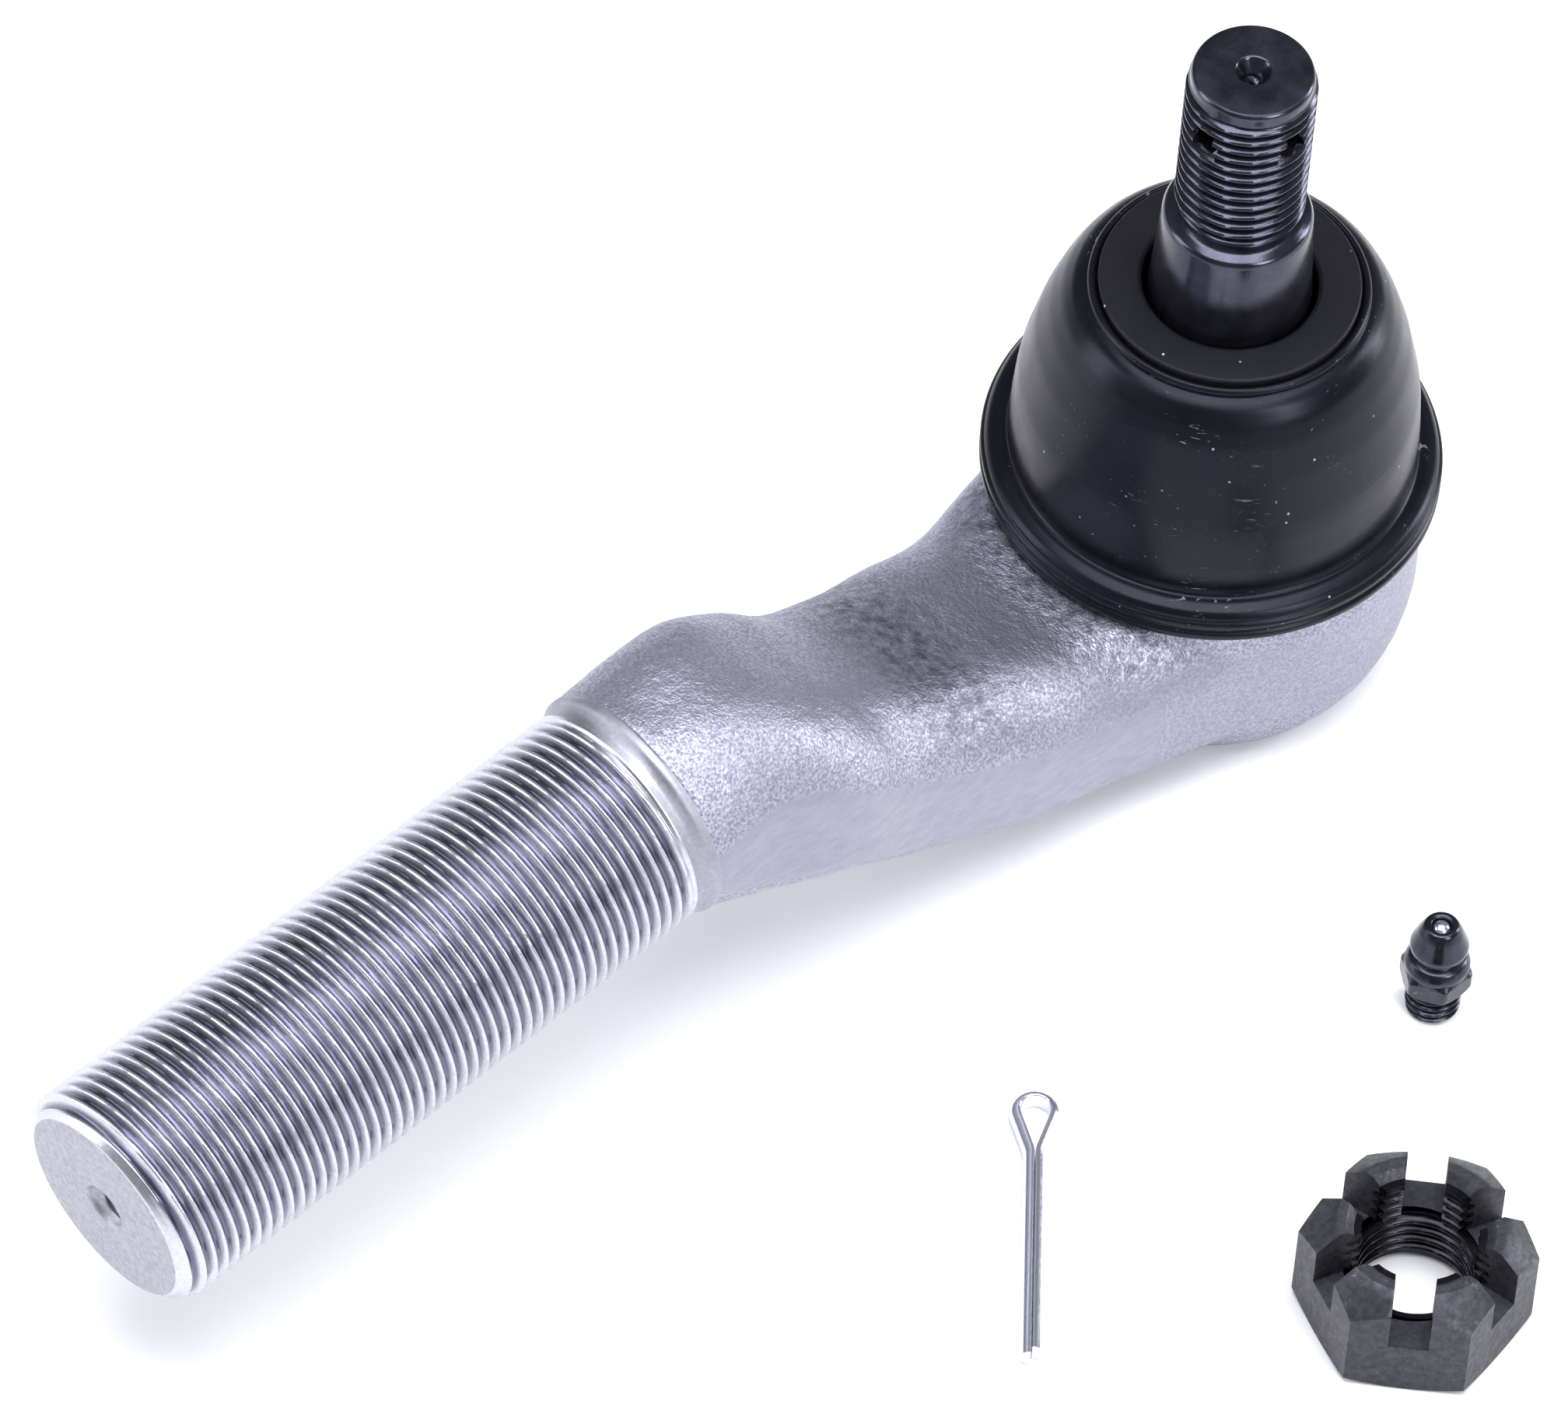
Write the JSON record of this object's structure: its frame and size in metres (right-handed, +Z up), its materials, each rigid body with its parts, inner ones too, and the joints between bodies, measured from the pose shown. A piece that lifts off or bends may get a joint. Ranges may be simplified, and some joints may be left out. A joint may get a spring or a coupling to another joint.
{
  "type": "tie rod end",
  "caption": "Offset steering tie rod end: threaded shank, forged cup, sealed ball joint and tapered stud, with castle nut, split pin and grease fitting laid out beside it",
  "frame": {"origin": "centre of the ball, on the stud axis", "axes": "+Z up the stud; the shank runs to -X, sloping down by 5.5 degrees; Y across the arm"},
  "size_m": [0.1834, 0.12, 0.0902],
  "materials": {
    "forged_steel": "shot-blasted forging, bright cut thread",
    "bearing_polymer": "matte",
    "spring_steel": "satin",
    "plate_steel": "satin",
    "boot_rubber": "satin moulded rubber",
    "washer_plastic": "matte",
    "black_steel": "black oxide, glossy",
    "nut_steel": "black phosphate, worn edges",
    "zinc_steel": "bright zinc",
    "fitting_steel": "dark plated, bright edges"
  },
  "bodies": {
    "housing_body": {"housing": "forged_steel", "upper_bearing": "bearing_polymer", "lower_bearing_seat": "bearing_polymer", "preload_spring": "spring_steel", "cover_plate": "plate_steel", "dust_boot": "boot_rubber", "boot_base_ring": "plate_steel"},
    "liner": {"bearing_liner": "bearing_polymer"},
    "boot_top": {"boot_top_ring": "plate_steel", "boot_top_washer": "washer_plastic"},
    "stud": {"ball_stud": "black_steel"},
    "nut": {"castle_nut": "nut_steel"},
    "split_pin": {"cotter_pin": "zinc_steel"},
    "fitting": {"grease_fitting_body": "fitting_steel", "grease_fitting_spring": "spring_steel"},
    "check_ball": {"grease_fitting_ball": "zinc_steel"}
  },
  "joints": [
    {"name": "stud_swing", "type": "hinge", "parent": "housing_body", "child": "liner", "pos_m": [0, 0, 0], "axis": [0, 1, 0], "range_deg": [-16, 16], "deforming": ["dust_boot"]},
    {"name": "stud_rock", "type": "hinge", "parent": "liner", "child": "boot_top", "pos_m": [0, 0, 0], "axis": [1, 0, 0], "range_deg": [-16, 16], "deforming": ["dust_boot"]},
    {"name": "stud_spin", "type": "hinge", "parent": "boot_top", "child": "stud", "pos_m": [0, 0, 0], "axis": [0, 0, 1], "continuous": true},
    {"name": "nut_lift", "type": "slide", "parent": "housing_body", "child": "nut", "axis": [0, 0, 1], "range_m": [0, 0.08]},
    {"name": "split_pin_lift", "type": "slide", "parent": "housing_body", "child": "split_pin", "axis": [0, 0, 1], "range_m": [0, 0.08]},
    {"name": "fitting_lift", "type": "slide", "parent": "housing_body", "child": "fitting", "axis": [0, 0, 1], "range_m": [0, 0.08]},
    {"name": "check_ball_press", "type": "slide", "parent": "fitting", "child": "check_ball", "axis": [0, 0, -1], "range_m": [0, 0.0008], "deforming": ["grease_fitting_spring"]}
  ]
}
